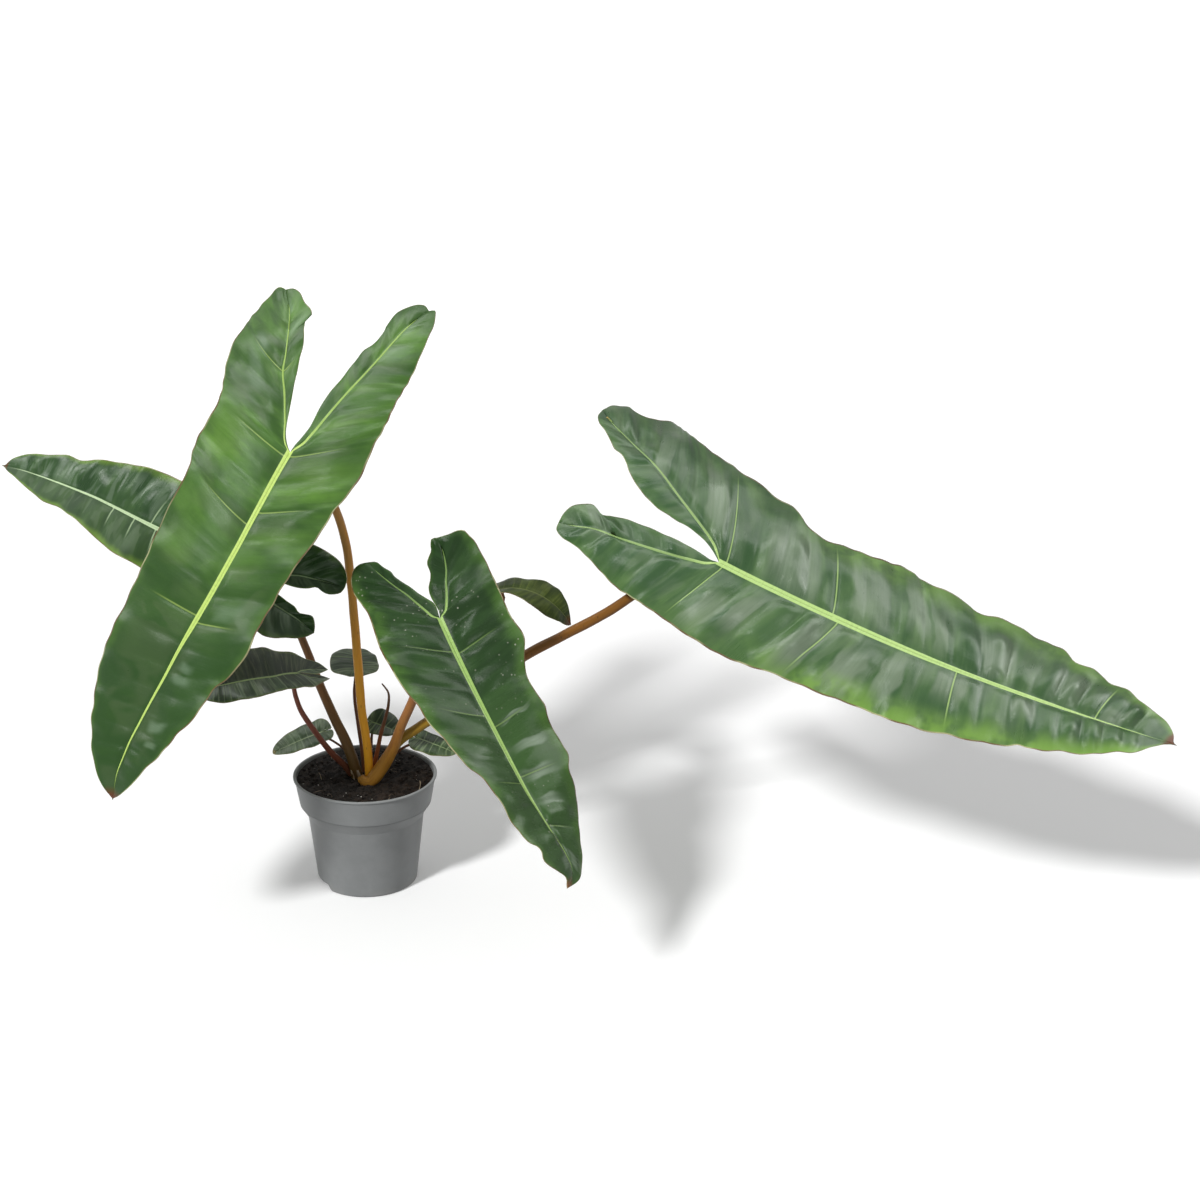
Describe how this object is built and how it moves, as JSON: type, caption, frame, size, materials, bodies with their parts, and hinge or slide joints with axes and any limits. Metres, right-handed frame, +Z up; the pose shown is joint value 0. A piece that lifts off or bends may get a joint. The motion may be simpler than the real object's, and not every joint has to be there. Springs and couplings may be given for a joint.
{
  "type": "potted philodendron billietiae",
  "caption": "Young climbing aroid in a round nursery pot: long arrow-shaped leaves with two basal lobes on orange-brown stalks, filled with potting soil, for a shelf or table.",
  "frame": {"origin": "under the middle of the pot's base, on the surface that the pot stands on", "axes": "+Z up, +X toward the side of the longest leaf, -Y toward the side that the plant is looked at from"},
  "size_m": [0.9391, 0.4045, 0.4942],
  "materials": {
    "pot_plastic": "satin",
    "soil": "matte",
    "crown": "matte",
    "stalk_orange": "satin",
    "stalk_olive": "satin",
    "stalk_red": "satin",
    "stalk_dark": "satin",
    "leaf_mid": "gloss",
    "leaf_dark": "gloss"
  },
  "bodies": {
    "root": {"pot": "pot_plastic", "soil": "soil", "crown": "crown", "petiole_front_left": "stalk_orange", "petiole_front_middle": "stalk_orange", "petiole_right": "stalk_orange", "petiole_back_left": "stalk_olive", "petiole_low_left": "stalk_red", "petiole_folded_back": "stalk_olive", "petiole_round_back": "stalk_dark", "petiole_small_left": "stalk_dark", "petiole_small_back": "stalk_dark", "petiole_small_right": "stalk_dark", "blade_front_left": "leaf_mid", "blade_front_middle": "leaf_dark", "blade_right": "leaf_mid", "blade_back_left": "leaf_dark", "blade_low_left": "leaf_dark", "blade_folded_back": "leaf_mid", "blade_round_back": "leaf_dark", "blade_small_left": "leaf_dark", "blade_small_back": "leaf_dark", "blade_small_right": "leaf_dark", "new_leaf_sheath": "stalk_red"}
  },
  "joints": []
}
